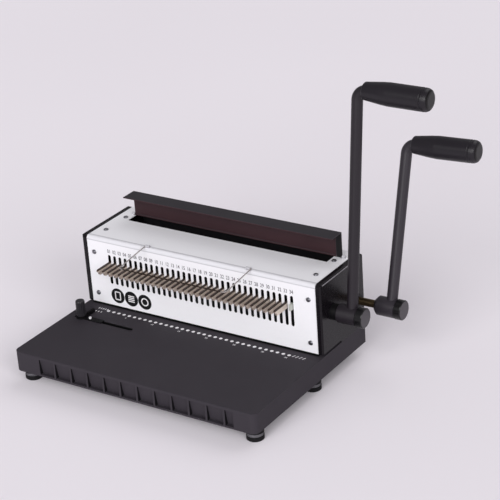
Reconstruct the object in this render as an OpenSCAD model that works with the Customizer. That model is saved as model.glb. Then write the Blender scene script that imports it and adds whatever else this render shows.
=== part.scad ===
// Desk punching and wire closing machine: a row of punches keyed to a beam by pull pins, and a wire closer.
// Millimetres, +Z up. The origin lies on the table under the middle of the base; the front faces -Y.

/* [Punching row] */
// Punches in the row
hole_count = 34; // [20:1:40]
// Distance from one punch to the next, three to the inch
pitch = 8.467; // [8:0.001:10]
// Distance of the row behind the face of the front cover
row_setback = 12; // [11.5:0.5:14]
// Side of the square punches
punch_side = 4; // [3:0.1:5]
// Width of a punch head along the row
head_w = 6.4; // [5:0.1:7]
// Depth of a punch head
head_d = 8.4; // [7:0.1:9]
// Height of a punch head above its pin
head_over = 4.5; // [3:0.5:7]
// Height of a punch head below its pin
head_under = 4; // [3:0.5:5]
// Height of the paper throat above the deck
throat_h = 3; // [2:0.1:4]

/* [Pull pins] */
// Thickness of a pull pin
pin_t = 3; // [2:0.1:3.2]
// Height of a pull pin
pin_h = 8.1; // [6:0.1:9]
// Lower edge of the pins above the deck
pin_low = 57; // [56:0.5:62]
// How far the pins stand out of the front cover
pin_out = 27.4; // [20:0.2:32]
// How far the last punch's fixed lug stands out of the front cover
lug_out = 5; // [2:0.5:8]
// How far the lower lobe of a pin's end stays behind the upper one
pin_step = 2.9; // [1:0.1:5]
// Width of the slots in the front cover
slot_w = 4.3; // [3.8:0.1:4.6]
// Lower end of the slots above the deck
slot_low = 33.5; // [28:0.5:40]
// Upper end of the slots above the deck
slot_high = 75; // [72:0.5:80]

/* [Base] */
// Depth of the open deck in front of the body
front_depth = 158; // [140:1:180]
// Depth of the body
body_d = 102; // [98:1:120]
// Height of the base from its lower rim to the deck
base_h = 27; // [26:0.5:36]
// Thickness of the deck
deck_t = 3; // [2:0.5:4]
// Thickness of the side and rear walls of the base
base_wall = 3; // [2:0.5:4]
// Thickness of the front apron
apron_t = 9; // [8:0.5:14]
// Radius of the front corners of the base
corner_r = 9; // [4:0.5:16]
// Radius of the front edge of the deck
edge_r = 2.5; // [1:0.1:3]
// Distance from one apron scoop to the next
scoop_pitch = 25.5; // [20:0.5:32]
// Rib left between two scoops
scoop_rib = 3; // [2:0.5:6]
// Plain apron left of the scoops
scoop_left = 40.8; // [30:0.2:60]
// Plain apron right of the scoops
scoop_right = 31.1; // [25:0.2:60]
// Depth of a scoop at its upper end
scoop_top_depth = 1.5; // [0.5:0.1:2.5]
// Depth of a scoop at its lower end
scoop_depth = 5.2; // [3:0.1:6]
// Plain edge above the scoops
scoop_edge = 3.7; // [3:0.1:8]
// Height of the lip under the scoops
scoop_lip = 2.5; // [2:0.1:5]
// Thickness of the bottom plate
bottom_t = 1.5; // [1:0.1:2]

/* [Feet] */
// Diameter of a foot
foot_d = 22; // [18:0.5:26]
// Height of a foot
foot_h = 16; // [12:0.5:24]
// Depth of the groove round a foot
foot_groove = 2.2; // [1:0.1:4]
// Distance of the feet's axes from the sides of the base
foot_inset_x = 13.5; // [12:0.5:24]
// Distance of the front feet's axes from the front of the base
foot_inset_front = 18; // [12:0.5:24]
// Distance of the middle feet's axes in front of the body
foot_mid = 8; // [4:1:40]
// Distance of the rear feet's axes from the rear of the base
foot_inset_rear = 14; // [12:0.5:24]
// Distance of the rear feet's axes from the sides of the base
foot_rear_x = 34; // [20:0.5:60]

/* [Body] */
// Room between the last punch and a cheek
side_room = 35.3; // [34.8:0.1:45]
// Thickness of a cheek
cheek_t = 7; // [6:0.5:9]
// Height of the body above the deck
body_h = 97; // [95:0.5:115]
// How far the cheeks stand proud of the covers
cheek_proud = 1; // [0.5:0.1:2]
// Chamfer along the outer upper and front edges of a cheek
cheek_chamfer = 2; // [1:0.1:3]
// Radius of the rear upper corner of a cheek
cheek_corner = 3; // [1:0.5:4]
// Depth of the throat notch in a cheek
notch_d = 43; // [30:1:60]
// Thickness of the cover sheets
cover_t = 1.2; // [1:0.1:2]
// Outer radius of the bend of the front cover
bend_r = 4; // [4:0.5:8]
// Gap under the front cover
cover_lift = 2.2; // [1.5:0.1:3]
// Width of the screw flanges of a cheek
flange_w = 18; // [16:0.5:20]
// Thickness of the screw flanges
flange_t = 3; // [2:0.5:3]
// Front edge of the closer's opening behind the front of the body
open_y = 63; // [61:0.5:66]
// Front to back size of the closer's opening
open_d = 21; // [20:0.5:23]
// Plain cover left at each end of the closer's opening
open_end = 21; // [20:0.5:40]

/* [Screws] */
// Diameter of the screw heads
screw_head_d = 6.4; // [5:0.1:8]
// Height of the screw heads
screw_head_h = 2; // [1.5:0.1:3]
// Diameter of the screw shanks
screw_d = 3; // [2.5:0.1:4]
// Distance of the front screws from the cheeks
screw_front_x = 11; // [8:0.5:13]
// Height of the lower front screws above the deck
screw_low = 16; // [14:0.5:24]
// Height of the upper front screws above the deck
screw_high = 75.3; // [60:0.5:80]
// Distance of the top screws from the cheeks
screw_top_x = 14; // [8:0.5:14]
// First row of top screws behind the front of the body
screw_top_front = 25; // [20:0.5:40]
// Second row of top screws behind the front of the body
screw_top_rear = 69; // [55:0.5:70]
// Distance of the rear screws from the cheeks
screw_rear_x = 9; // [8:0.5:13]
// Height of the lower rear screws above the deck
screw_rear_low = 27; // [20:0.5:40]
// Depth of the upper rear screws under the top of the body
screw_rear_drop = 20; // [16:0.5:30]

/* [Punch drive] */
// Distance of the punch shaft behind the front of the body
punch_shaft_y = 27; // [26.8:0.1:29]
// Height of the punch shaft above the deck
punch_shaft_z = 51; // [49:0.5:53]
// Diameter of the punch shaft
punch_shaft_d = 12; // [10:0.5:12]
// Throw of the punch cranks
punch_throw = 9.9; // [8:0.1:10]
// Swing of the punch lever in degrees
punch_swing = 90; // [70:1:100]
// Diameter of the punch crank pins
crank_pin_d = 8; // [6:0.5:9]
// Thickness of the punch crank discs
crank_t = 6; // [4:0.5:7]
// Play of the crank pins in the beam
crank_play = 0.6; // [0.5:0.05:0.8]
// Width of the beam's end blocks
block_w = 12; // [11.5:0.5:13]
// Thickness of the beam's crank brackets
bracket_t = 7.5; // [5:0.5:8]
// Thickness of the beam's walls
beam_wall = 3; // [2:0.1:3]
// Diameter of the guide posts
post_d = 8; // [6:0.5:8]
// Thickness of the punch guide
guide_t = 10; // [8:0.5:14]
// Thickness of the die plate
die_t = 8; // [6:0.5:8]
// How far the die plate reaches past the last punch
die_over = 20; // [10:0.5:24]
// How far the die plate reaches in front of the row
die_ahead = 8; // [6:0.5:10]
// How far the die plate reaches behind the row
die_behind = 16; // [10:0.5:20]
// Width of the die plate's edges under the deck
die_lip = 4; // [2:0.5:5]
// How far the punch guide reaches in front of the row
guide_ahead = 6.5; // [5:0.5:8]
// How far the punch guide reaches behind the row
guide_behind = 8; // [7:0.5:8.5]
// Wall of the return springs
spring_wall = 0.6; // [0.4:0.1:0.7]

/* [Wire closer] */
// Distance of the closer shaft behind the front of the body
closer_shaft_y = 85; // [84:0.5:85.5]
// Height of the closer shaft above the deck
closer_shaft_z = 40; // [36:0.5:44]
// Diameter of the closer shaft
closer_shaft_d = 10; // [8:0.5:11]
// Throw of the closer cranks
closer_throw = 6.5; // [5:0.1:7]
// Swing of the closer lever in degrees
closer_swing = 75; // [50:1:76]
// Diameter of the closer crank pins
closer_pin_d = 7; // [6:0.5:7]
// Play of the closer crank pins in the jaw
closer_play = 0.4; // [0.3:0.05:0.5]
// Thickness of the jaw and of the anvil
jaw_t = 4; // [3:0.5:5]
// Gap between the closed jaw and the anvil
jaw_gap = 2.2; // [1.5:0.1:4]
// Height of the jaw's floor above the deck
jaw_floor_h = 60; // [58:0.5:62]
// Depth of the jaw's upper edge under the top of the body
jaw_drop = 12; // [10:0.5:14]
// Height of the jaw's guide rods above its floor
rod_rise = 12; // [9:0.5:14]
// How far the jaw reaches past the last punch
jaw_over = 18; // [16:0.5:18]
// Distance of the guide rods past the last punch
rod_over = 11; // [8:0.5:12]
// Distance of the jaw's forks inside the last punch
fork_in = 10; // [4:0.5:30]
// Width of the jaw's forks
fork_t = 7; // [5:0.5:9]
// Thickness of the forks' prongs
fork_wall = 2.5; // [2:0.1:3]
// Height of the jaw's fork arms
fork_h = 18; // [16:0.5:20]
// Thickness of the closer shaft's webs
web_t = 5; // [4:0.5:6]

/* [Levers] */
// Play between a bush's flange and the punch lever's hub
bush_gap = 0.4; // [0.3:0.1:1]
// Wall of the punch shaft's bushes
punch_bush_wall = 3; // [2:0.5:4]
// Wall of the closer shaft's bushes
closer_bush_wall = 2.5; // [2:0.5:4]
// Rim of the punch bushes' flanges
punch_bush_rim = 1.5; // [1:0.1:3]
// Rim of the closer bushes' flanges
closer_bush_rim = 1; // [1:0.1:3]
// Length of the bushes' short flanges
bush_flange = 3; // [2:0.5:6]
// Diameter of the lever arms
arm_d = 14; // [10:0.5:16]
// Bend radius of the lever arms
arm_bend = 12; // [10:0.5:20]
// Diameter of the hubs
hub_d = 24.6; // [22:0.2:25]
// Diameter of the hubs' end caps
cap_d = 25.6; // [24:0.2:26]
// Length of the hubs' end caps
cap_l = 9.5; // [8:0.5:14]
// Chamfer at the inner end of the punch lever's hub
punch_hub_chamfer = 1.2; // [0.5:0.1:4]
// Chamfer at the inner end of the closer lever's hub
closer_hub_chamfer = 4; // [1:0.1:4.5]
// Solid end left in the punch lever's hub
punch_hub_floor = 7.5; // [6:0.5:9]
// Solid end left in the closer lever's hub
closer_hub_floor = 6.5; // [5:0.5:9]
// Gap between the cheek and the punch lever's hub
punch_hub_gap = 9; // [4:0.5:12]
// Length of the punch lever's hub
punch_hub_l = 36.5; // [36:0.5:44]
// Punch lever's arm from the inner end of its hub
punch_arm_in = 18; // [16:0.5:19]
// Punch lever from its shaft to its grip
punch_arm_l = 282; // [270:1:320]
// Backward lean of the punch lever in degrees
punch_lean = 7; // [0:0.5:12]
// Gap between the cheek and the closer lever's hub
closer_hub_gap = 28; // [27:0.5:40]
// Length of the closer lever's hub
closer_hub_l = 39; // [38:0.5:44]
// Closer lever's arm from the inner end of its hub
closer_arm_in = 21; // [16:0.5:21.5]
// Closer lever from its shaft to its grip
closer_arm_l = 208; // [180:1:215]
// Backward lean of the closer lever in degrees
closer_lean = 15; // [14:0.5:22]
// Upward tilt of the closer lever's grip in degrees
closer_tilt = 2.5; // [0:0.5:6]
// Length of the grips beyond the bends
grip_l = 84.5; // [70:0.5:110]
// How far the grips reach back over the bends
grip_over = 2; // [0:0.5:3]
// Diameter of the grips
grip_d = 28.5; // [24:0.5:32]
// Diameter of the grips at their inner ends
grip_neck_d = 22; // [20:0.5:24]

/* [Lid] */
// Height of the open lid above the cover
lid_h = 35; // [25:0.5:45]
// Depth of the lid's flange
lid_flange = 22.5; // [10:0.5:28]
// Diameter of the lid's hinge rod
lid_rod_d = 3; // [2.5:0.1:4]
// Width of the folded strip at the lid's right end
lid_strip = 7.5; // [5:0.5:10]
// How far the lid reaches past the right end of the closer's opening
lid_over = 12; // [8:0.5:13]
// Distance of the lid's hinge in front of the rear edge of the opening
lid_in = 3; // [2:0.5:5]

/* [Wire holder] */
// Diameter of the holder's wire
wire_d = 1.6; // [1.4:0.1:2.4]
// Width of the holder between its legs
bail_w = 163; // [100:1:200]
// Offset of the holder to the right
bail_shift = 0; // [-10:0.5:10]
// Length of the holder's legs
bail_l = 59; // [40:1:70]
// Downward slope of the holder in degrees
bail_droop = 6.5; // [0:0.5:8]
// Bend radius of the holder's corners
wire_bend = 5; // [3:0.5:8]
// Length of the holder's eyelets
eye_l = 6; // [4:0.5:10]
// Outer diameter of the holder's eyelets
eye_d = 4.2; // [4:0.1:6]
// Slant of the eyelets round the cover's bend in degrees from upright
eye_slant = 12; // [5:1:45]

/* [Edge guide] */
// Distance of the guide's slot in front of the body
guide_y = 44.5; // [36:0.5:60]
// Width of the guide's slot
guide_slot_w = 6; // [4.5:0.1:7]
// Left end of the guide's slot from the side of the base
guide_slot_start = 11; // [10:0.5:12]
// Length of the guide's slot
guide_slot_l = 93; // [70:1:150]
// Distance of the clamp knob's axis from the side of the base
knob_in = 21.5; // [20:0.5:24]
// Diameter of the guide's round foot
guide_foot_d = 14; // [13:0.5:20]
// Thickness of the guide's round foot
guide_foot_t = 3; // [2:0.5:4]
// Distance of the paper stop's face to the right of the knob's axis
guide_stop_off = 6.5; // [5:0.5:9]
// Thickness of the paper stop
guide_stop_t = 3; // [2:0.5:4]
// Length of the paper stop behind the slot
guide_stop_l = 20; // [14:0.5:30]
// Height of the guide's paper stop
guide_stop_h = 5; // [4:0.5:12]
// Distance of the guide's stud to the right of the knob's axis
guide_stud_off = 14.5; // [14:0.5:24]
// Diameter of the stud's head
guide_stud_d = 3.6; // [3:0.1:4]
// Length of the guide's plate to the right of the stud
guide_plate_l = 20; // [6:0.5:24]
// Width of the guide's plate
guide_plate_w = 8; // [7.5:0.1:10]
// Thickness of the guide's plate
guide_plate_t = 1.2; // [0.8:0.1:2]
// Width of the guide's slider under the deck
slider_w = 12; // [10:0.5:16]
// Thickness of the guide's slider
slider_t = 3; // [2:0.5:4]
// Diameter of the clamp knob
knob_d = 12.2; // [10:0.1:14]
// Height of the clamp knob
knob_h = 22; // [10:0.5:26]
// Diameter of the clamp screw
knob_screw_d = 4; // [3:0.1:4.2]

/* [Chip tray] */
// Height of the tray
tray_h = 13.5; // [10:0.5:13.5]
// Front to back size of the tray
tray_d = 36; // [28:0.5:44]
// Width of the tray's finger pull
pull_w = 24; // [16:1:26]
// How far the finger pull stands out of the left wall
pull_out = 7; // [4:0.5:10]
// Thickness of the finger pull
pull_t = 2; // [1.5:0.1:3]
// Height of the rails beside the tray
rail_h = 7; // [4:0.5:9]
// Thickness of the rails beside the tray
rail_t = 1.5; // [1:0.1:2]
// Thickness of the tray's walls
tray_wall = 1.5; // [1:0.1:2.5]
// How far the tray reaches past the last punch
tray_over = 10; // [6:0.5:14]

/* [Fits] */
// Running clearance of shafts and posts, on the radius
run_fit = 0.05; // [0.02:0.01:0.1]
// Clearance of pressed and clamped pieces, on the radius
press_fit = 0.02; // [0.01:0.01:0.05]
// Sliding clearance of punches and pins, each side
slide_fit = 0.15; // [0.1:0.01:0.2]
// Gap between neighbouring sheets
sheet_gap = 0.3; // [0.2:0.05:0.5]

/* [Hidden] */
$fn = 64;
row_half = (hole_count - 1) * pitch / 2;
pull_pin_count = hole_count - 1;
x_in = row_half + side_room;
x_out = x_in + cheek_t;
base_d = front_depth + body_d;
y_front = -base_d / 2;
y_body = y_front + front_depth;
y_rear = base_d / 2;
z_deck = foot_h + base_h;
z_top = z_deck + body_h;
cover_half = x_in - sheet_gap - 0.2;
y_row = y_body + row_setback;

z_pin = z_deck + pin_low;
pin_end = y_row + head_d / 2 + beam_wall - 0.7;
head_gap = 0.3;
z_head = z_pin - head_under;
head_h = head_under + pin_h + head_over;
z_guide = z_deck + throat_h;
z_tip = z_guide + 0.5;

beam_half = row_half + pitch / 2 + 2;
beam_in = head_d / 2 + head_gap;
z_beam = z_pin - head_under - 1.5;
z_beam_top = z_head + head_h + head_gap + beam_wall;
post_x = beam_half + block_w / 2;
bracket_x = beam_half + block_w;
crank_x = bracket_x + bracket_t + 0.8;
y_punch_shaft = y_body + punch_shaft_y;
z_punch_shaft = z_deck + punch_shaft_z;
crank_rise = punch_throw * sin(punch_swing / 2);
crank_reach = punch_throw * cos(punch_swing / 2);
y_crank = y_punch_shaft - crank_reach;
z_crank = z_punch_shaft + crank_rise;
bracket_end = y_punch_shaft - punch_shaft_d / 2 - 0.5;
bracket_slot = y_punch_shaft - punch_throw - crank_pin_d / 2 - 0.6;

y_closer_shaft = y_body + closer_shaft_y;
z_closer_shaft = z_deck + closer_shaft_z;
closer_shift = closer_throw * sin(closer_swing / 2);
closer_lift = closer_throw * cos(closer_swing / 2);
y_closer_pin = y_closer_shaft + closer_shift;
y_anvil = y_body + open_y - 1.5;
y_jaw = y_anvil + jaw_gap + 2 * closer_shift;
z_jaw_floor = z_deck + jaw_floor_h;
z_jaw_top = z_top - jaw_drop;
z_rod = z_jaw_floor + rod_rise;
jaw_half = row_half + jaw_over;
rod_x = row_half + rod_over;
fork_x = row_half - fork_in;

punch_hub_x = x_out + punch_hub_gap;
punch_arm_x = punch_hub_x + punch_arm_in;
closer_hub_x = x_out + closer_hub_gap;
closer_arm_x = closer_hub_x + closer_arm_in;
spigot_d = arm_d - 0.4;

y_lid = y_body + open_y + open_d - lid_in;
z_lid = z_top + lid_rod_d / 2 + 0.3;
open_half = x_in - open_end;
lid_ear = 4;
lid_left = -open_half + 0.5;
lid_right = open_half + lid_over;

eye_off = bend_r + eye_d / 2 - 0.6;
y_eye = y_body + bend_r - eye_off * sin(eye_slant);
z_eye = z_top - bend_r + eye_off * cos(eye_slant);

y_guide = y_body - guide_y;
guide_left = -x_out + guide_slot_start;
knob_x = -x_out + knob_in;
guide_stop_x = knob_x + guide_stop_off;
stud_x = knob_x + guide_stud_off;
z_knob = z_deck + guide_foot_t + 0.2;

tray_y = y_row - tray_d / 2 + 4;
z_tray = foot_h + bottom_t + 0.4;
tray_end = row_half + tray_over;

function pin_name(i) = str("pull_pin_", i < 10 ? "0" : "", i);
function row_x(i) = -row_half + (i - 1) * pitch;

// Shared shapes
// A profile drawn as front to back and up, drawn out along the row from a to b
module along(a, b) {
    translate([a, 0, 0])
        rotate([90, 0, 90])
            linear_extrude(height = b - a)
                children();
}

// A round bar along the row from a to b
module bar(a, b, y, z, d) {
    translate([a, y, z])
        rotate([0, 90, 0])
            cylinder(d = d, h = b - a);
}

// A round bar from front to back
module bar_y(x, a, b, z, d) {
    translate([x, a, z])
        rotate([-90, 0, 0])
            cylinder(d = d, h = b - a);
}

// A box given by its two corners
module block(a, b) {
    translate(a)
        cube(b - a);
}

// Base: one moulded shell with the open deck, the scooped apron and the cut-outs
module base_outline() {
    r = corner_r;
    difference() {
        translate([-x_out, y_front])
            square([2 * x_out, base_d]);
        for (s = [0, 1])
            mirror([s, 0])
                translate([x_out - r, y_front + r])
                    difference() {
                        translate([0, -r - 1])
                            square(r + 1);
                        circle(r = r);
                    }
    }
}

module scoops() {
    first = -x_out + scoop_left;
    last = x_out - scoop_right;
    z_low = foot_h + scoop_lip;
    z_high = z_deck - scoop_edge;
    for (x = [first:scoop_pitch:last - 6])
        along(x, min(x + scoop_pitch - scoop_rib, last))
            polygon([[y_front - 1, z_low], [y_front + scoop_depth, z_low],
                     [y_front + scoop_top_depth, z_high], [y_front - 1, z_high]]);
}

module front_edge() {
    difference() {
        block([-x_out - 1, y_front - 1, z_deck - edge_r], [x_out + 1, y_front + edge_r, z_deck + 1]);
        bar(-x_out - 2, x_out + 2, y_front + edge_r, z_deck - edge_r, 2 * edge_r);
    }
}

module guide_slot() {
    a = guide_left + guide_slot_w / 2;
    b = guide_left + guide_slot_l - guide_slot_w / 2;
    translate([0, 0, z_deck - deck_t - 1]) {
        translate([a, y_guide - guide_slot_w / 2, 0])
            cube([b - a, guide_slot_w, deck_t + 2]);
        for (x = [a, b])
            translate([x, y_guide, 0])
                cylinder(d = guide_slot_w, h = deck_t + 2);
    }
}

module base_deck() {
    color("#424146")
        difference() {
            translate([0, 0, foot_h])
                linear_extrude(height = base_h)
                    base_outline();
            block([-x_out + base_wall, y_front + apron_t, foot_h - 1],
                  [x_out - base_wall, y_rear - base_wall, z_deck - deck_t]);
            block([-die_half - sheet_gap, die_front - sheet_gap, z_deck - deck_t - 1],
                  [die_half + sheet_gap, die_rear + sheet_gap, z_deck + 1]);
            block([-x_out - 1, tray_y - sheet_gap, z_tray - sheet_gap],
                  [-x_out + base_wall + 1, tray_y + tray_d + sheet_gap, z_tray + tray_h + sheet_gap]);
            front_edge();
            guide_slot();
            scoops();
        }
}

// Bottom plate: a sheet that closes the base, with two rails for the chip tray
module bottom_plate() {
    z = foot_h + bottom_t;
    color("#2f2f33")
        union() {
            block([-x_out + base_wall + sheet_gap, y_front + apron_t + sheet_gap, foot_h],
                  [x_out - base_wall - sheet_gap, y_rear - base_wall - sheet_gap, z]);
            for (y = [tray_y - sheet_gap - rail_t, tray_y + tray_d + sheet_gap])
                block([-x_out + base_wall + 2, y, z - 0.5], [tray_end, y + rail_t, z + rail_h]);
        }
}

// Feet: six moulded pads with a groove round the middle
module foot() {
    r = foot_d / 2;
    m = foot_h / 2;
    rotate_extrude()
        polygon([[0, 0], [r - 0.8, 0], [r, 0.8], [r, m - 2], [r - foot_groove, m - 1.2],
                 [r - foot_groove, m + 1.2], [r, m + 2], [r, foot_h - 0.8], [r - 0.8, foot_h], [0, foot_h]]);
}

module feet() {
    color("#222224")
        for (s = [-1, 1]) {
            for (y = [y_front + foot_inset_front, y_body - foot_mid])
                translate([s * (x_out - foot_inset_x), y, 0])
                    foot();
            translate([s * (x_out - foot_rear_x), y_rear - foot_inset_rear, 0])
                foot();
        }
}

// Cheeks: side plates with screw flanges, the shaft bores and the paper notch
bush_d = punch_shaft_d + 2 * punch_bush_wall;
closer_bush_d = closer_shaft_d + 2 * closer_bush_wall;
y_cheek = y_body - cheek_proud;
z_cheek = z_top + cheek_proud;
flange_x = x_in - flange_w;
y_front_flange = y_body + cover_t + 0.1;
z_top_flange = z_top - cover_t - 0.1 - flange_t;
y_rear_flange = y_rear - cover_t - 0.1 - flange_t;

module cheek() {
    r = bend_r + cheek_proud;
    difference() {
        union() {
            along(x_in, x_out)
                union() {
                    translate([y_cheek, z_deck])
                        square([y_rear - y_cheek, z_cheek - r - z_deck]);
                    translate([y_cheek + r, z_deck])
                        square([y_rear - y_cheek - r - cheek_corner, z_cheek - z_deck]);
                    translate([y_cheek + r, z_deck])
                        square([y_rear - y_cheek - r, z_cheek - z_deck - cheek_corner]);
                    translate([y_cheek + r, z_cheek - r])
                        circle(r = r);
                    translate([y_rear - cheek_corner, z_cheek - cheek_corner])
                        circle(r = cheek_corner);
                }
            block([flange_x, y_front_flange, z_guide + 4],
                  [x_in + 1, y_front_flange + flange_t, z_top - bend_r - 1]);
            block([flange_x, y_body + bend_r + 8, z_top_flange],
                  [x_in + 1, y_lid - 5, z_top_flange + flange_t]);
            block([flange_x, y_rear_flange, z_deck + 12],
                  [x_in + 1, y_rear_flange + flange_t, z_top - 10]);
        }
        block([x_in - 1, y_cheek - 1, z_deck - 1], [x_out + 1, y_body + notch_d, z_deck + throat_h]);
        translate([x_out, y_cheek - 1, z_cheek - cheek_chamfer])
            rotate([0, -45, 0])
                cube([4 * cheek_chamfer, base_d, 4 * cheek_chamfer]);
        translate([x_out - cheek_chamfer - 1, y_cheek - 1, z_deck - 1])
            rotate([0, 0, -45])
                cube([4 * cheek_chamfer, 4 * cheek_chamfer + 2, body_h + 4]);
        bar(x_in - 1, x_out + 1, y_punch_shaft, z_punch_shaft, bush_d);
        bar(x_in - 1, x_out + 1, y_closer_shaft, z_closer_shaft, closer_bush_d);
        screw_places_right()
            cylinder(d = screw_d + 2 * press_fit, h = 10 * flange_t, center = true);
    }
}

module left_cheek() {
    color("#1d1d1f")
        mirror([1, 0, 0])
            cheek();
}

module right_cheek() {
    color("#1d1d1f")
        cheek();
}

// Covers: a bent white sheet over the front and top, and a flat black sheet behind
module screw_places_right() {
    for (z = [screw_low, screw_high])
        translate([x_in - screw_front_x, y_body, z_deck + z])
            rotate([90, 0, 0])
                children();
    for (y = [screw_top_front, screw_top_rear])
        translate([x_in - screw_top_x, y_body + y, z_top])
            children();
    for (z = [z_deck + screw_rear_low, z_top - screw_rear_drop])
        translate([x_in - screw_rear_x, y_rear, z])
            rotate([-90, 0, 0])
                children();
}

module screw_places() {
    screw_places_right()
        children();
    mirror([1, 0, 0])
        screw_places_right()
            children();
}

module front_cover() {
    slot_r = slot_w / 2;
    bail_left = bail_shift - bail_w / 2;
    bail_right = bail_shift + bail_w / 2;
    color("#e8e6e6")
        difference() {
            union() {
                along(-cover_half, cover_half)
                    union() {
                        translate([y_body, z_deck + cover_lift])
                            square([cover_t, z_top - bend_r - z_deck - cover_lift]);
                        translate([y_body + bend_r, z_top - cover_t])
                            square([y_rear - y_body - bend_r, cover_t]);
                        translate([y_body + bend_r, z_top - bend_r])
                            intersection() {
                                difference() {
                                    circle(r = bend_r);
                                    circle(r = bend_r - cover_t);
                                }
                                translate([-bend_r - 1, 0])
                                    square(bend_r + 1);
                            }
                    }
                for (x = [bail_left + wire_d, bail_right - wire_d - eye_l])
                    bar(x, x + eye_l, y_eye, z_eye, eye_d);
                for (x = [lid_left - 0.5 - lid_ear, lid_right + 0.5])
                    bar(x, x + lid_ear, y_lid, z_lid, lid_rod_d + 2);
            }
            for (i = [1:hole_count])
                translate([row_x(i), y_body - 1, 0]) {
                    translate([-slot_r, 0, z_deck + slot_low + slot_r])
                        cube([slot_w, cover_t + 2, slot_high - slot_low - slot_w]);
                    for (z = [z_deck + slot_low + slot_r, z_deck + slot_high - slot_r])
                        bar_y(0, 0, cover_t + 2, z, slot_w);
                }
            block([-open_half, y_body + open_y, z_top - cover_t - 1],
                  [open_half, y_body + open_y + open_d, z_top + 1]);
            bar(-x_in, x_in, y_eye, z_eye, wire_d + 2 * run_fit);
            bar(lid_left - lid_ear + 0.5, lid_right + lid_ear - 0.5, y_lid, z_lid, lid_rod_d + 2 * run_fit);
            screw_places()
                cylinder(d = screw_d + 2 * sheet_gap, h = 4 * cover_t, center = true);
        }
}

module rear_cover() {
    color("#232326")
        difference() {
            block([-cover_half, y_rear - cover_t, z_deck + sheet_gap],
                  [cover_half, y_rear, z_top - cover_t - sheet_gap]);
            screw_places()
                cylinder(d = screw_d + 2 * sheet_gap, h = 4 * cover_t, center = true);
        }
}

// Screws: pan heads on the covers, shanks through sheet and flange
module cover_screws() {
    r = screw_head_d / 2;
    color("#b9b9bb")
        screw_places()
            rotate_extrude()
                polygon([[0, -cover_t - flange_t - 1], [screw_d / 2, -cover_t - flange_t - 1],
                         [screw_d / 2, 0], [r, 0], [r, screw_head_h * 0.4], [r * 0.82, screw_head_h * 0.8],
                         [r * 0.45, screw_head_h], [0, screw_head_h]]);
}

// Die plate: lies in the deck and hangs under it by its edges
die_half = row_half + die_over;
die_front = y_row - die_ahead;
die_rear = y_row + die_behind;

module die_plate() {
    color("#8f9196")
        difference() {
            union() {
                block([-die_half, die_front, z_deck - deck_t - 1], [die_half, die_rear, z_deck]);
                block([-die_half, die_front - die_lip, z_deck - die_t],
                      [die_half, die_rear + die_lip, z_deck - deck_t]);
            }
            for (i = [1:hole_count])
                translate([row_x(i), y_row, z_deck - die_t / 2])
                    cube([punch_side + 2 * run_fit, punch_side + 2 * run_fit, die_t + 2], center = true);
        }
}

// Punch guide: a bar between the cheeks with a paper stop and two posts for the beam
module punch_guide() {
    a = y_row - guide_ahead;
    b = y_row + guide_behind;
    color("#9a9ca1")
        difference() {
            union() {
                block([-x_in + 0.1, a, z_guide], [x_in - 0.1, b, z_guide + guide_t]);
                block([-beam_half, y_row + 5, z_deck + 0.1], [beam_half, b, z_guide + 1]);
                for (s = [-1, 1])
                    translate([s * post_x, y_row, z_guide + guide_t - 1])
                        cylinder(d = post_d, h = z_top - 6 - z_guide - guide_t + 1);
            }
            for (i = [1:hole_count])
                translate([row_x(i), y_row, z_guide + guide_t / 2])
                    cube([punch_side + 2 * run_fit, punch_side + 2 * run_fit, guide_t + 2], center = true);
        }
}

// Punch beam: a channel that the pins lie in, with post bores and crank brackets at its ends
module pin_windows(y, d) {
    w = pin_t + 2 * slide_fit;
    h = pin_h + 2 * slide_fit;
    for (i = [1:hole_count])
        translate([row_x(i) - w / 2, y, z_pin - slide_fit])
            cube([w, d, h]);
}

module punch_beam() {
    half_d = beam_in + beam_wall;
    slot_h = crank_pin_d + 2 * crank_play;
    color("#7c7f85")
        difference() {
            union() {
                block([-beam_half, y_row - half_d, z_beam], [beam_half, y_row + half_d, z_beam_top]);
                for (s = [0, 1])
                    mirror([s, 0, 0]) {
                        block([beam_half - 1, y_row - post_d / 2 - 2, z_beam],
                              [bracket_x, y_row + half_d, z_beam_top]);
                        block([bracket_x - 0.4, y_row - post_d / 2 - 2, z_crank - slot_h / 2 - 4],
                              [bracket_x + bracket_t, bracket_end, z_crank + slot_h / 2 + 4]);
                    }
            }
            block([-beam_half - 1, y_row - beam_in, z_beam - 1],
                  [beam_half + 1, y_row + beam_in, z_beam_top - beam_wall]);
            pin_windows(y_row - half_d - 1, 2 * half_d + 2);
            for (s = [0, 1])
                mirror([s, 0, 0]) {
                    translate([post_x, y_row, z_deck])
                        cylinder(d = post_d + 2 * run_fit, h = body_h);
                    block([bracket_x - 1, bracket_slot, z_crank - slot_h / 2],
                          [bracket_x + bracket_t + 1, bracket_end + 1, z_crank + slot_h / 2]);
                }
        }
}

// Punches: square shanks with windowed heads; the last one is keyed by a fixed lug
module punches() {
    w = pin_t + 2 * slide_fit;
    h = pin_h + 2 * slide_fit;
    color("#a9abb0")
        for (i = [1:hole_count])
            translate([row_x(i), y_row, 0])
                union() {
                    difference() {
                        union() {
                            translate([-head_w / 2, -head_d / 2, z_head])
                                cube([head_w, head_d, head_h]);
                            translate([-punch_side / 2, -punch_side / 2, z_tip])
                                cube([punch_side, punch_side, z_head - z_tip + 1]);
                        }
                        if (i <= pull_pin_count)
                            translate([-w / 2, -head_d, z_pin - slide_fit])
                                cube([w, 2 * head_d, h]);
                    }
                    if (i > pull_pin_count)
                        translate([-pin_t / 2, y_body - y_row - lug_out, z_pin])
                            cube([pin_t, row_setback + lug_out, pin_h]);
                }
}

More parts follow.
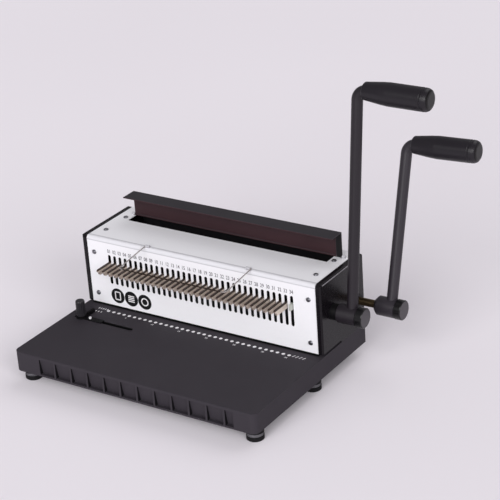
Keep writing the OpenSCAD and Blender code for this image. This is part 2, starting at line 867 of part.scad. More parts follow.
// Return springs: two coils round the posts, under the beam
module return_springs() {
    z = z_guide + guide_t;
    inner = post_d + 2 * spring_wall;
    color("#6f7074")
        for (s = [-1, 1])
            translate([s * post_x, y_row, z])
                difference() {
                    cylinder(d = inner + 2 * spring_wall, h = z_beam - z);
                    translate([0, 0, -1])
                        cylinder(d = inner, h = z_beam - z + 2);
                }
}

// Punch shaft: a bar with a crank disc near each cheek
punch_shaft_end = punch_hub_x + punch_hub_l - punch_hub_floor - 0.5;
module punch_shaft() {
    color("#85878c")
        union() {
            bar(-x_out - 3, punch_shaft_end, y_punch_shaft, z_punch_shaft, punch_shaft_d);
            for (s = [0, 1])
                mirror([s, 0, 0]) {
                    bar(crank_x, crank_x + crank_t, y_punch_shaft, z_punch_shaft,
                        2 * punch_throw + crank_pin_d + 6);
                    bar(bracket_x + 0.5, crank_x + 1, y_crank, z_crank, crank_pin_d);
                }
        }
}

// Bushes: flanged sleeves in the cheeks for both shafts
module bush(y, z, bore, outer, rim, l) {
    difference() {
        union() {
            bar(x_in, x_out, y, z, outer - 2 * press_fit);
            bar(x_out, x_out + l, y, z, outer + 2 * rim);
        }
        bar(x_in - 1, x_out + l + 1, y, z, bore + 2 * run_fit);
    }
}

module shaft_bushes() {
    color("#b58a3c")
        for (left = [0, 1])
            mirror([left, 0, 0]) {
                long = left == 1 ? bush_flange : punch_hub_gap - bush_gap;
                bush(y_punch_shaft, z_punch_shaft, punch_shaft_d, bush_d, punch_bush_rim, long);
                bush(y_closer_shaft, z_closer_shaft, closer_shaft_d, closer_bush_d, closer_bush_rim,
                     bush_flange);
            }
}

// Levers: a hub on the shaft, a bent round arm and a foam grip
module hub(x, l, bore, bore_end, chamfer) {
    r = hub_d / 2;
    c = cap_d / 2;
    b = bore / 2 + press_fit;
    m = l - cap_l;
    translate([x, 0, 0])
        rotate([0, 90, 0])
            rotate_extrude()
                polygon([[b, 0], [r - chamfer, 0], [r, chamfer], [r, m - 0.6], [r - 0.9, m - 0.6],
                         [r - 0.9, m + 0.6], [c, m + 0.6], [c, l - 1], [c - 1, l], [0, l],
                         [0, bore_end], [b, bore_end]]);
}

function bend_angle(tilt) = 90 - tilt;
function arm_straight(l, tilt) = l - arm_bend * sin(bend_angle(tilt)) - sin(tilt) * grip_l / 2;

module at_grip(x, l, tilt) {
    a = bend_angle(tilt);
    translate([x + arm_bend * (1 - cos(a)), 0, arm_straight(l, tilt) + arm_bend * sin(a)])
        rotate([0, a, 0])
            children();
}

module arm(x, l, tilt) {
    h = arm_straight(l, tilt);
    z = hub_d / 2 - 3;
    translate([x, 0, z])
        cylinder(d = arm_d, h = h - z);
    translate([x + arm_bend, 0, h])
        rotate([90, 0, 180])
            rotate_extrude(angle = bend_angle(tilt))
                translate([arm_bend, 0])
                    circle(d = arm_d);
    at_grip(x, l, tilt)
        translate([0, 0, -1])
            cylinder(d = spigot_d, h = grip_l - 9);
}

module grip(x, l, tilt) {
    n = grip_neck_d / 2;
    r = grip_d / 2;
    b = spigot_d / 2 + press_fit;
    m = n - 2.2;
    o = grip_over;
    at_grip(x, l, tilt)
        rotate_extrude()
            polygon([[b, 0.5], [m, 0.5], [m, -o], [n - 0.6, -o], [n, 0.8 - o],
                     [r - 0.7, grip_l * 0.25], [r, grip_l * 0.36],
                     [r, grip_l - 11], [r - 0.9, grip_l - 10.2], [r - 0.9, grip_l - 9], [r, grip_l - 8.2],
                     [r - 0.3, grip_l - 5], [r - 1.6, grip_l - 2], [r - 3.8, grip_l - 0.4], [r - 6, grip_l],
                     [0, grip_l], [0, grip_l - 9.8], [b, grip_l - 9.8]]);
}

module at_punch_hub() {
    translate([0, y_punch_shaft, z_punch_shaft])
        rotate([-punch_lean, 0, 0])
            children();
}

module at_closer_hub() {
    translate([0, y_closer_shaft, z_closer_shaft])
        rotate([-closer_lean, 0, 0])
            children();
}

module punch_lever() {
    color("#3c3a40")
        at_punch_hub()
            union() {
                hub(punch_hub_x, punch_hub_l, punch_shaft_d, punch_hub_l - punch_hub_floor,
                    punch_hub_chamfer);
                arm(punch_arm_x, punch_arm_l, 0);
            }
}

module punch_lever_grip() {
    color("#1c1c1e")
        at_punch_hub()
            grip(punch_arm_x, punch_arm_l, 0);
}

module closer_lever() {
    color("#3c3a40")
        at_closer_hub()
            union() {
                hub(closer_hub_x, closer_hub_l, closer_shaft_d, closer_hub_l - closer_hub_floor,
                    closer_hub_chamfer);
                arm(closer_arm_x, closer_arm_l, closer_tilt);
            }
}

module closer_lever_grip() {
    color("#1c1c1e")
        at_closer_hub()
            grip(closer_arm_x, closer_arm_l, closer_tilt);
}

// Closer shaft: a cranked bar, its pins standing up and to the rear at rest
closer_shaft_end = closer_hub_x + closer_hub_l - closer_hub_floor - 0.5;
module crank_web(x) {
    half = closer_shaft_d / 2 + 0.2;
    translate([x, y_closer_shaft, z_closer_shaft])
        rotate([-closer_swing / 2, 0, 0])
            translate([0, -half, -half])
                cube([web_t, 2 * half, half + closer_throw + closer_pin_d / 2 + 0.7]);
}

module closer_shaft() {
    inner = fork_x - 1 - web_t;
    outer = fork_x + fork_t + 1;
    color("#c4a24e")
        union() {
            bar(-inner - 1, inner + 1, y_closer_shaft, z_closer_shaft, closer_shaft_d);
            bar(outer + 1, closer_shaft_end, y_closer_shaft, z_closer_shaft, closer_shaft_d);
            bar(-x_out - 3, -outer - 1, y_closer_shaft, z_closer_shaft, closer_shaft_d);
            for (s = [0, 1])
                mirror([s, 0, 0]) {
                    crank_web(inner);
                    crank_web(outer);
                    bar(inner + 1, outer + 1, y_closer_pin, z_closer_shaft + closer_lift, closer_pin_d);
                }
        }
}

// Closer: a fixed anvil with two guide rods, and the jaw that the cranks push towards it
module closer_anvil() {
    color("#8a8c91")
        union() {
            block([-x_in + 0.1, y_anvil - jaw_t, z_jaw_floor + 2.5], [x_in - 0.1, y_anvil, z_jaw_top + 2]);
            for (s = [-1, 1])
                bar_y(s * rod_x, y_anvil - 1, y_jaw + jaw_t + 3, z_rod, post_d);
        }
}

module closer_jaw() {
    z_low = z_closer_shaft - 2;
    prong = closer_pin_d / 2 + closer_play;
    color("#74767c")
        difference() {
            union() {
                block([-jaw_half, y_jaw, z_low], [jaw_half, y_jaw + jaw_t, z_jaw_top]);
                block([-jaw_half, y_anvil + 0.5, z_jaw_floor], [jaw_half, y_jaw + 1, z_jaw_floor + 2]);
                for (s = [0, 1])
                    mirror([s, 0, 0])
                        block([fork_x, y_jaw + 1, z_low],
                              [fork_x + fork_t, y_closer_pin + prong + fork_wall, z_low + fork_h]);
            }
            for (s = [0, 1])
                mirror([s, 0, 0]) {
                    block([fork_x - 1, y_closer_pin - prong, z_low - 1],
                          [fork_x + fork_t + 1, y_closer_pin + prong,
                           z_closer_shaft + closer_throw + closer_pin_d / 2 + 1]);
                    bar_y(rod_x, y_jaw - 1, y_jaw + jaw_t + 1, z_rod, post_d + 2 * run_fit);
                }
        }
}

// Lid: a folded sheet on a hinge rod behind the closer's opening
module lid() {
    t = cover_t;
    color("#161618")
        union() {
            bar(lid_left - lid_ear + 1, lid_right + lid_ear - 1, y_lid, z_lid, lid_rod_d);
            block([lid_left, y_lid - t / 2, z_lid], [lid_right, y_lid + t / 2, z_top + lid_h]);
            block([lid_left, y_lid - t / 2 - lid_flange, z_top + lid_h - t],
                  [lid_right, y_lid, z_top + lid_h]);
            block([lid_right - lid_strip, y_lid - t / 2 - 1.2, z_lid + 2],
                  [lid_right, y_lid, z_top + lid_h - t / 2]);
        }
}

// Wire holder: a bent wire whose ends turn in two eyelets on the cover's bend
module wire_holder() {
    a = bail_shift - bail_w / 2 + wire_d / 2;
    b = bail_shift + bail_w / 2 - wire_d / 2;
    r = wire_bend;
    color("#b4b5b8")
        translate([0, y_eye, z_eye])
            rotate([bail_droop, 0, 0])
                union() {
                    bar(a, a + wire_d / 2 + eye_l, 0, 0, wire_d);
                    bar(b - wire_d / 2 - eye_l, b, 0, 0, wire_d);
                    for (x = [a, b]) {
                        translate([x, 0, 0])
                            sphere(d = wire_d);
                        bar_y(x, -bail_l + r, 0, 0, wire_d);
                    }
                    bar(a + r, b - r, -bail_l, 0, wire_d);
                    translate([a + r, -bail_l + r, 0])
                        rotate([0, 0, 180])
                            rotate_extrude(angle = 90)
                                translate([r, 0])
                                    circle(d = wire_d);
                    translate([b - r, -bail_l + r, 0])
                        rotate([0, 0, 270])
                            rotate_extrude(angle = 90)
                                translate([r, 0])
                                    circle(d = wire_d);
                }
}

// Edge guide: a round foot with a paper stop on the deck, held by a slider under the slot
module edge_guide() {
    z = z_deck + 0.1;
    z_low = z_deck - deck_t - 0.2;
    key = guide_slot_w - 0.6;
    color("#2a2a2d")
        difference() {
            union() {
                translate([knob_x, y_guide, z])
                    cylinder(d = guide_foot_d, h = guide_foot_t);
                block([guide_stop_x - guide_stop_t, y_guide, z],
                      [guide_stop_x, y_guide + guide_stop_l, z + guide_foot_t]);
                block([guide_stop_x - guide_stop_t, y_guide + knob_d / 2 + 0.8, z],
                      [guide_stop_x, y_guide + guide_stop_l, z + guide_stop_h]);
                block([guide_stop_x - 1, y_guide - guide_plate_w / 2, z],
                      [stud_x + guide_plate_l, y_guide + guide_plate_w / 2, z + guide_plate_t]);
            }
            translate([knob_x, y_guide, z - 1])
                cylinder(d = knob_screw_d + 2 * run_fit, h = guide_foot_t + 2);
            translate([stud_x, y_guide, z - 1])
                cylinder(d = guide_stud_d + 2 * press_fit, h = guide_plate_t + 2);
        }
    color("#c9c9cc")
        difference() {
            union() {
                block([knob_x - slider_w / 2, y_guide - slider_w / 2, z_low - slider_t],
                      [stud_x + slider_w / 2, y_guide + slider_w / 2, z_low]);
                block([guide_stop_x - guide_stop_t, y_guide - key / 2, z_low - 1],
                      [guide_stop_x, y_guide + key / 2, z]);
                translate([stud_x, y_guide, z_low - 1])
                    cylinder(d = key, h = deck_t + 1.3);
                translate([stud_x, y_guide, z - 1])
                    cylinder(d = guide_stud_d, h = guide_plate_t + 3);
            }
            translate([knob_x, y_guide, z_low - slider_t - 1])
                cylinder(d = knob_screw_d + 2 * run_fit, h = slider_t + 2);
        }
}

// Clamp knob: a fluted cap on a screw that draws the slider up
module guide_knob() {
    r = knob_d / 2;
    color("#18181a")
        union() {
            difference() {
                translate([knob_x, y_guide, z_knob])
                    rotate_extrude()
                        polygon([[0, 0], [r - 0.5, 0], [r, 0.5], [r, knob_h - 2], [r - 0.6, knob_h - 0.6],
                                 [r - 2, knob_h], [0, knob_h]]);
                for (a = [0:30:330])
                    translate([knob_x + (r + 0.5) * cos(a), y_guide + (r + 0.5) * sin(a), z_knob + 3])
                        cylinder(d = 2, h = knob_h);
            }
            translate([knob_x, y_guide, z_deck - deck_t - 3])
                cylinder(d = knob_screw_d, h = z_knob - z_deck + deck_t + 4);
        }
}

// Chip tray: a long open box that draws out of the left wall
module chip_tray() {
    w = tray_wall;
    color("#333337")
        union() {
            difference() {
                block([-x_out, tray_y, z_tray], [tray_end, tray_y + tray_d, z_tray + tray_h]);
                block([-x_out + base_wall, tray_y + w, z_tray + w],
                      [tray_end - w, tray_y + tray_d - w, z_tray + tray_h + 1]);
            }
            block([-x_out - pull_out, tray_y + (tray_d - pull_w) / 2, z_tray + (tray_h - pull_t) / 2],
                  [-x_out + 1, tray_y + (tray_d + pull_w) / 2, z_tray + (tray_h + pull_t) / 2]);
        }
}

// Pull pins: flat keys through the beam and the punch heads, with a two-lobed end to grip
module pull_pin(i) {
    y = y_body - pin_out;
    r = pin_h / 4;
    color("#c2b7ab")
        along(row_x(i) - pin_t / 2, row_x(i) + pin_t / 2)
            union() {
                translate([y + r, z_pin + pin_h / 2])
                    square([pin_end - y - r, pin_h / 2]);
                translate([y + r, z_pin + pin_h - r])
                    circle(r = r);
                translate([y + pin_step + r, z_pin])
                    square([pin_end - y - pin_step - r, pin_h / 2]);
                translate([y + pin_step + r, z_pin + r])
                    circle(r = r);
            }
}

base_deck();
bottom_plate();
feet();
left_cheek();
right_cheek();
front_cover();
rear_cover();
cover_screws();
die_plate();
punch_guide();
punch_beam();
punches();
return_springs();
punch_shaft();
shaft_bushes();
punch_lever();
punch_lever_grip();
closer_shaft();
closer_lever();
closer_lever_grip();
closer_anvil();
closer_jaw();
lid();
wire_holder();
edge_guide();
guide_knob();
chip_tray();
for (i = [1:pull_pin_count])
    pull_pin(i);
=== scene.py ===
import math

import bmesh
import bpy
from mathutils import Matrix, Vector


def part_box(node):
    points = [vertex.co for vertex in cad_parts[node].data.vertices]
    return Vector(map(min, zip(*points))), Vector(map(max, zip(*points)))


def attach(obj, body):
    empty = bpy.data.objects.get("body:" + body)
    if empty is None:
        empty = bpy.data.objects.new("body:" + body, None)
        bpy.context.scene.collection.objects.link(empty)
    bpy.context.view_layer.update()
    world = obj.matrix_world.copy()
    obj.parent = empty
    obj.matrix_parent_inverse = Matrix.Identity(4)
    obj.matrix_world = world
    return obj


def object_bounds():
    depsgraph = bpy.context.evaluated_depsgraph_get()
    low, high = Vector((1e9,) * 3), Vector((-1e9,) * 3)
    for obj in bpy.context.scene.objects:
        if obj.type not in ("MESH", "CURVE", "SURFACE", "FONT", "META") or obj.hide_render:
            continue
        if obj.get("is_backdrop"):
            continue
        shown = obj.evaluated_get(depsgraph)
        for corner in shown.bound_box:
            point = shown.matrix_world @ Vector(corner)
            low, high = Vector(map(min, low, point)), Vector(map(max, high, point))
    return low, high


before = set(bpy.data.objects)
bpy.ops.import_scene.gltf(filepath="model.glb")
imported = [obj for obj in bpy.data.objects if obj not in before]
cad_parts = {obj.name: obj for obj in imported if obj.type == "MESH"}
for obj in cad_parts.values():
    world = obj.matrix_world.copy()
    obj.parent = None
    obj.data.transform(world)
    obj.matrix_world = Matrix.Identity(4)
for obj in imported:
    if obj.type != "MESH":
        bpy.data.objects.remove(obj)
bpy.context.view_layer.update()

# Base: a one-piece pressed steel shell that stands on six feet and carries everything else.
# Its deck is the table for the paper, and the front apron is scooped between thin ribs.
MM = 0.001


def linear(code):
    """An sRGB hex colour as linear RGBA."""
    channels = [int(code[i:i + 2], 16) / 255 for i in (1, 3, 5)]
    return [c / 12.92 if c <= 0.04045 else ((c + 0.055) / 1.055) ** 2.4 for c in channels] + [1.0]


def add(material, kind, inputs=None, **settings):
    """Adds one shader node; an input is a value, or another node's output to link to it."""
    made = material.node_tree.nodes.new(kind)
    for key, value in settings.items():
        setattr(made, key, value)
    for key, value in (inputs or {}).items():
        if isinstance(value, bpy.types.NodeSocket):
            material.node_tree.links.new(value, made.inputs[key])
        else:
            made.inputs[key].default_value = value
    return made


def new_material(name):
    """An empty node material and the node that gives places and facings in the piece's own frame."""
    material = bpy.data.materials.new(name)
    material.use_nodes = True
    material.node_tree.nodes.clear()
    return material, add(material, "ShaderNodeTexCoord")


def finish_material(material, **inputs):
    """Closes a material with one principled surface."""
    keys = {k.replace("_", " "): v for k, v in inputs.items()}
    shader = add(material, "ShaderNodeBsdfPrincipled", keys)
    add(material, "ShaderNodeOutputMaterial", {"Surface": shader.outputs["BSDF"]})
    return material


def inside(material, place, low, high):
    """A mask that is 1 inside a box, which is given by two corners in millimetres."""
    low, high = Vector(low) * MM, Vector(high) * MM
    off = add(material, "ShaderNodeVectorMath", {0: place, 1: (low + high) / 2}, operation="SUBTRACT")
    far = add(material, "ShaderNodeVectorMath", {0: off.outputs[0]}, operation="ABSOLUTE")
    share = add(material, "ShaderNodeVectorMath", {0: far.outputs[0], 1: (high - low) / 2},
                operation="DIVIDE")
    axes = add(material, "ShaderNodeSeparateXYZ", {0: share.outputs[0]})
    two = add(material, "ShaderNodeMath", {0: axes.outputs[0], 1: axes.outputs[1]}, operation="MAXIMUM")
    most = add(material, "ShaderNodeMath", {0: two.outputs[0], 1: axes.outputs[2]}, operation="MAXIMUM")
    return add(material, "ShaderNodeMath", {0: most.outputs[0], 1: 1.0}, operation="LESS_THAN").outputs[0]


CLOUD = 40          # size of the broad unevenness of a coat, in millimetres
GLOSS_SWING = 0.05  # how far the roughness of a coat swings to both sides
FACING = 0.4        # cosine of the widest angle at which a face still looks one way


def grained(name, low, high, rough, grain, depth, spots=(), **inputs):
    """A coat between two shades, whose shade, gloss and surface vary with a grain of that size in
    millimetres. A spot is a box and the colour that the coat has inside it, with a direction added
    where only the faces that look that way have it."""
    material, own = new_material(name)
    place = own.outputs["Object"]
    cloud = add(material, "ShaderNodeTexNoise", {"Vector": place, "Scale": 1 / (CLOUD * MM), "Detail": 3.0})
    fine = add(material, "ShaderNodeTexNoise", {"Vector": place, "Scale": 1 / (grain * MM), "Detail": 2.0})
    both = add(material, "ShaderNodeMath", {0: cloud.outputs["Fac"], 1: fine.outputs["Fac"]},
               operation="ADD")
    half = add(material, "ShaderNodeMath", {0: both.outputs[0], 1: 0.5}, operation="MULTIPLY")
    shade = add(material, "ShaderNodeMix",
                {"Factor": half.outputs[0], "A": linear(low), "B": linear(high)}, data_type="RGBA")
    for corner, other, colour, *ways in spots:
        mask = inside(material, place, corner, other)
        for way in ways:
            along = add(material, "ShaderNodeVectorMath", {0: own.outputs["Normal"], 1: way},
                        operation="DOT_PRODUCT")
            faced = add(material, "ShaderNodeMath", {0: along.outputs["Value"], 1: FACING},
                        operation="GREATER_THAN")
            mask = add(material, "ShaderNodeMath", {0: mask, 1: faced.outputs[0]},
                       operation="MULTIPLY").outputs[0]
        shade = add(material, "ShaderNodeMix",
                    {"Factor": mask, "A": shade.outputs["Result"], "B": linear(colour)}, data_type="RGBA")
    gloss = add(material, "ShaderNodeMapRange", {"Value": fine.outputs["Fac"],
                                                 "To Min": rough - GLOSS_SWING,
                                                 "To Max": rough + GLOSS_SWING})
    bump = add(material, "ShaderNodeBump",
               {"Height": fine.outputs["Fac"], "Distance": depth * MM, "Strength": 0.6})
    return finish_material(material, Base_Color=shade.outputs["Result"], Roughness=gloss.outputs["Result"],
                           Normal=bump.outputs["Normal"], **inputs)


def dress(material, *names, edge=0.0, slot=None):
    """Gives CAD nodes their material, and rounds their sharp edges by edge millimetres."""
    for name in names:
        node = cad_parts[name]
        node.data.materials.clear()
        node.data.materials.append(material)
        if edge:
            weld = node.modifiers.new("weld", "WELD")
            weld.merge_threshold = 0.002 * MM
            flat = node.modifiers.new("flat", "DECIMATE")
            flat.decimate_type = "DISSOLVE"
            flat.angle_limit = math.radians(0.6)
            bevel = node.modifiers.new("edge", "BEVEL")
            bevel.width = edge * MM
            bevel.segments = 2
            bevel.limit_method = "ANGLE"
            bevel.angle_limit = math.radians(38)
            smooth = node.modifiers.new("smooth", "NODES")
            smooth.node_group = by_angle
            even = node.modifiers.new("even", "WEIGHTED_NORMAL")
            even.keep_sharp = True


# Rounded edges shade as one surface with the flats beside them; corners over 50 degrees stay crisp.
by_angle = bpy.data.node_groups.new("smooth_by_angle", "GeometryNodeTree")
by_angle.interface.new_socket("Mesh", in_out="INPUT", socket_type="NodeSocketGeometry")
by_angle.interface.new_socket("Mesh", in_out="OUTPUT", socket_type="NodeSocketGeometry")
angle_in = by_angle.nodes.new("NodeGroupInput")
angle_bare = by_angle.nodes.new("GeometryNodeRemoveAttribute")
angle_bare.inputs["Name"].default_value = "custom_normal"
angle_of = by_angle.nodes.new("GeometryNodeInputMeshEdgeAngle")
angle_low = by_angle.nodes.new("FunctionNodeCompare")
angle_low.operation = "LESS_THAN"
angle_low.inputs["B"].default_value = math.radians(50)
angle_set = by_angle.nodes.new("GeometryNodeSetShadeSmooth")
angle_set.domain = "EDGE"
angle_out = by_angle.nodes.new("NodeGroupOutput")
by_angle.links.new(angle_of.outputs["Unsigned Angle"], angle_low.inputs["A"])
by_angle.links.new(angle_in.outputs[0], angle_bare.inputs["Geometry"])
by_angle.links.new(angle_bare.outputs[0], angle_set.inputs["Geometry"])
by_angle.links.new(angle_low.outputs[0], angle_set.inputs["Shade Smooth"])
by_angle.links.new(angle_set.outputs[0], angle_out.inputs[0])

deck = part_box("base_deck")[1].z / MM            # top of the deck
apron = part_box("base_deck")[0].y / MM           # front of the apron
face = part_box("right_cheek")[0].y / MM + 1      # front of the cover, 1 mm behind the cheeks' edges
guide_line = face - 44.5                        # middle of the edge guide's slot
SLOT_HALF = 3.2                                 # half the width of that slot
# Powder coat, baked: a fine pebbled skin that scatters the light, so the deck looks matt and even.
# Its 0.3 mm grain is drawn at 0.9 mm to show at all. The walls of the guide's slot, the right sides of
# the apron's ribs and the deck at the foot of the cover are coloured nearly black, for their shade.
guide_slot = ((-173, guide_line - SLOT_HALF, deck - 4), (-76, guide_line + SLOT_HALF, deck - 0.1), "#040405")
rib_sides = ((-170, apron - 1, 5), (170, apron + 30, deck - 3), "#100f12", (1, 0, 0))
cover_foot = ((-175, face - 2, deck - 1), (175, face + 99, deck + 1), "#040405")
base_paint = grained("powder coat, baked dark grey", "#2d292f", "#38343a", rough=0.66, grain=0.9, depth=0.03,
                     spots=[guide_slot, rib_sides, cover_foot], Specular_IOR_Level=0.2)
dress(base_paint, "base_deck", edge=0.8, slot="base_paint")


# Deck printing: a row of white dots in front of the punches with figures at every fifth,
# and short size marks at both ends, screen printed on the paint.
def printed(name, shapes, material, body="frame"):
    """One thin printed layer made of flat shapes, each a list of corner points in the frame."""
    mesh = bpy.data.meshes.new(name)
    made = bmesh.new()
    for corners in shapes:
        made.faces.new([made.verts.new(p) for p in corners])
    made.to_mesh(mesh)
    made.free()
    return place_piece(name, mesh, material, body)


def place_piece(name, mesh, material, body):
    """Puts a mesh in the scene as a piece that rides on a body."""
    mesh.materials.append(material)
    piece = bpy.data.objects.new(name, mesh)
    bpy.context.scene.collection.objects.link(piece)
    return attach(piece, body)


def disc(centre, radius, across, up, sides=24):
    """The corner points of a disc spanned by two directions."""
    turns = [2 * math.pi * i / sides for i in range(sides)]
    return [centre + across * radius * math.cos(a) + up * radius * math.sin(a) for a in turns]


def stroke(a, b, width, normal):
    """The corner points of a straight printed stroke from a to b."""
    side = (b - a).cross(normal).normalized() * width / 2
    return [a - side, b - side, b + side, a + side]


FONT_SIZE = 1.38    # size of the font over the height of its figures


def figures(name, words, height, weight, turn, material, body="frame"):
    """Printed figures: each word is its text and its middle point; turn sets the plane they lie in."""
    made = bmesh.new()
    for text, middle in words:
        curve = bpy.data.curves.new("figure", "FONT")
        curve.body = text
        curve.size = height * FONT_SIZE
        curve.offset = weight
        curve.align_x = "CENTER"
        curve.align_y = "CENTER"
        curve.resolution_u = 3
        holder = bpy.data.objects.new("figure", curve)
        bpy.context.scene.collection.objects.link(holder)
        drawn = holder.evaluated_get(bpy.context.evaluated_depsgraph_get())
        shape = bpy.data.meshes.new_from_object(drawn)
        shape.transform(Matrix.Translation(middle) @ turn)
        made.from_mesh(shape)
        bpy.data.objects.remove(holder)
        bpy.data.curves.remove(curve)
        bpy.data.meshes.remove(shape)
    mesh = bpy.data.meshes.new(name)
    made.to_mesh(mesh)
    made.free()
    return place_piece(name, mesh, material, body)


SLOTS = 34
FILM = 0.03        # how far a printed film stands off the paint
right, ahead, upward = Vector((1, 0, 0)), Vector((0, 1, 0)), Vector((0, 0, 1))
first_pin, last_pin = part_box("pull_pin_01"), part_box("pull_pin_33")
pitch = (last_pin[0].x - first_pin[0].x) / (SLOTS - 2)
row = [(first_pin[0].x + first_pin[1].x) / 2 + pitch * i for i in range(SLOTS)]
ink_z = (deck + FILM) * MM
dots_y = (face - 14.4) * MM

# Screen ink, printed white: a thin chalky film, a little uneven, that stands out from the dark paint.
white_ink = grained("screen ink, printed white", "#dcdadd", "#efedf0", rough=0.6, grain=0.6, depth=0.005,
                    Specular_IOR_Level=0.3)
dots = [disc(Vector((x + 0.8 * MM, dots_y, ink_z)), radius=2.3 * MM, across=right, up=ahead) for x in row]
printed("deck_dots", dots, white_ink)
counts = [(str(n), Vector((row[n - 1], dots_y - 7 * MM, ink_z))) for n in (5, 10, 15, 20, 25, 30, SLOTS)]
figures("deck_figures", counts, height=3 * MM, weight=0.06 * MM, turn=Matrix.Identity(4), material=white_ink)
marks = []
# Four slanted strokes past the last dot, then five ticks and three shorter ones before the first.
for i in range(4):
    foot = Vector((row[-1] + (6 + 5 * i) * MM, dots_y - 2 * MM, ink_z))
    marks.append(stroke(foot, foot + Vector((2.4 * MM, 4.5 * MM, 0)), width=1.1 * MM, normal=upward))
for i in range(5):
    foot = Vector((row[0] - (2.5 + 3.4 * i) * MM, dots_y + 0.5 * MM, ink_z))
    marks.append(stroke(foot, foot + Vector((0, 3.6 * MM, 0)), width=1.2 * MM, normal=upward))
for i in range(3):
    foot = Vector((row[0] - (6.5 + 4.2 * i) * MM, dots_y - 8 * MM, ink_z))
    marks.append(stroke(foot, foot + Vector((0, 3 * MM, 0)), width=1.2 * MM, normal=upward))
printed("deck_marks", marks, white_ink)

# Bottom plate and feet: a painted sheet screwed to the base closes it from below,
# and six grooved rubber pads carry the machine.
# Satin enamel, sprayed black: an even sheen with a faint ripple along the sheet.
sheet_black = grained("satin enamel, sprayed black", "#141316", "#1d1c1f", rough=0.42, grain=1.5, depth=0.01,
                      Specular_IOR_Level=0.3)
dress(sheet_black, "bottom_plate", slot="sheet_black")
# Rubber, moulded: dull, so it stays black under any light, with a greyer groove.
BEYOND = 200        # a box that reaches this far from the middle takes in the whole base and body
foot_groove = ((-BEYOND, -BEYOND, 6.2), (BEYOND, BEYOND, 9.8), "#68666b")
foot_rubber = grained("rubber, moulded black", "#0f0e10", "#19181b", rough=0.7, grain=0.8, depth=0.03,
                      spots=[foot_groove], Specular_IOR_Level=0.15)
dress(foot_rubber, "feet", slot="foot_rubber")

# Cheeks: two thick side plates screwed to the base, which carry both shafts
# and the flanges that the covers are screwed to.
# Enamel, stoved black: smooth enough to mirror the floor and the hubs, softened by a faint orange peel.
# A fine pale line under the right cheek's top chamfer is coloured in, for the light along that edge.
cheek_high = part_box("right_cheek")[1] / MM
chamfer_line = ((cheek_high.x - 0.3, face + 4, cheek_high.z - 3.4),
                (cheek_high.x + 1, cheek_high.y - 12, cheek_high.z - 1.9), "#8a878c")
cheek_paint = grained("enamel, stoved black", "#0f0c10", "#151216", rough=0.26, grain=2.5, depth=0.01,
                      spots=[chamfer_line], Specular_IOR_Level=0.2)
dress(cheek_paint, "left_cheek", "right_cheek", slot="cheek_paint")

# Punching tools inside the body: die plate, guide with its posts, beam, punches, springs and shaft,
# held between the cheeks and seen only through the slots and the opening on top.
# Tool steel, coloured nearly black as painted shade, so the slots look as dark as the inside of the body; a
# soft metal sheen along the grinding.
MARK_LONG, MARK_WIDE = 16.67, 1.111     # a grinding mark; real ones are finer, and these are drawn to show
grinding = (1 / (MARK_LONG * MM), 1 / (MARK_WIDE * MM), 1 / (MARK_WIDE * MM))
tool_steel, own = new_material("tool steel, darkened for shade")
lay = add(tool_steel, "ShaderNodeMapping", {"Vector": own.outputs["Object"], "Scale": grinding})
scratch = add(tool_steel, "ShaderNodeTexNoise",
              {"Vector": lay.outputs["Vector"], "Scale": 1.0, "Detail": 4.0})
black = add(tool_steel, "ShaderNodeMix",
            {"Factor": scratch.outputs["Fac"], "A": linear("#0a0a0c"), "B": linear("#161618")},
            data_type="RGBA")
dull = add(tool_steel, "ShaderNodeMapRange",
           {"Value": scratch.outputs["Fac"], "To Min": 0.4, "To Max": 0.55})
finish_material(tool_steel, Base_Color=black.outputs["Result"], Metallic=0.4,
                Roughness=dull.outputs["Result"], Specular_IOR_Level=0.2)
dress(tool_steel, "die_plate", "punch_guide", "punch_beam", "return_springs", "punch_shaft", "closer_anvil",
      "closer_jaw", slot="tool_steel")
# The last punch has no pull pin: its head carries a short fixed lug that stands out of the last slot.
# Tool steel, zinc plated at the lug: pale grey-green where it comes out of the cover.
last_x = row[-1] / MM
lug = ((last_x - 4, face - 20, 60), (last_x + 4, face + 2, 140), "#b4b7b0")
# Away from the lug the punches are coloured nearly black, painted shade like the other tools inside.
punch_steel = grained("tool steel, zinc plated at the lug", "#0c0c0e", "#161619", rough=0.5, grain=2.0,
                      depth=0.004, spots=[lug], Metallic=0.15)
dress(punch_steel, "punches", slot="tool_steel")

# Front cover: one bent steel sheet over the front and top, screwed to the cheeks' flanges,
# slotted for the pins, with eyelets for the wire holder and knuckles for the lid's hinge rod.
# Gloss enamel, sprayed off-white: clean and even with a soft sheen. The slots' walls are coloured dark,
# and the bend, the lines along both its sides and the eyelets and knuckles greyer, for their shade.
slot_walls = ((-146, face + 0.1, deck + 33), (146, face + 1.6, deck + 76), "#0a0a0b")
bend = ((-BEYOND, face - 1, deck + 92.8), (BEYOND, face + 4, deck + 97.1), "#d8d7dc")
line_above = ((-BEYOND, face + 4, deck + 90), (BEYOND, face + 7, deck + 97.1), "#c6c5ca")
line_below = ((-BEYOND, face - 1, deck + 91.4), (BEYOND, face + 0.6, deck + 92.8), "#c6c5ca")
knuckles = ((-BEYOND, face - 5, deck + 97.2), (BEYOND, face + 110, deck + 110), "#b4b3b8")
cover_white = grained("gloss enamel, sprayed off-white", "#e6e5e9", "#edecf0", rough=0.4, grain=2.5,
                      depth=0.004, spots=[slot_walls, bend, line_above, line_below, knuckles],
                      Specular_IOR_Level=0.3)
dress(cover_white, "front_cover", edge=0.25, slot="cover_white")

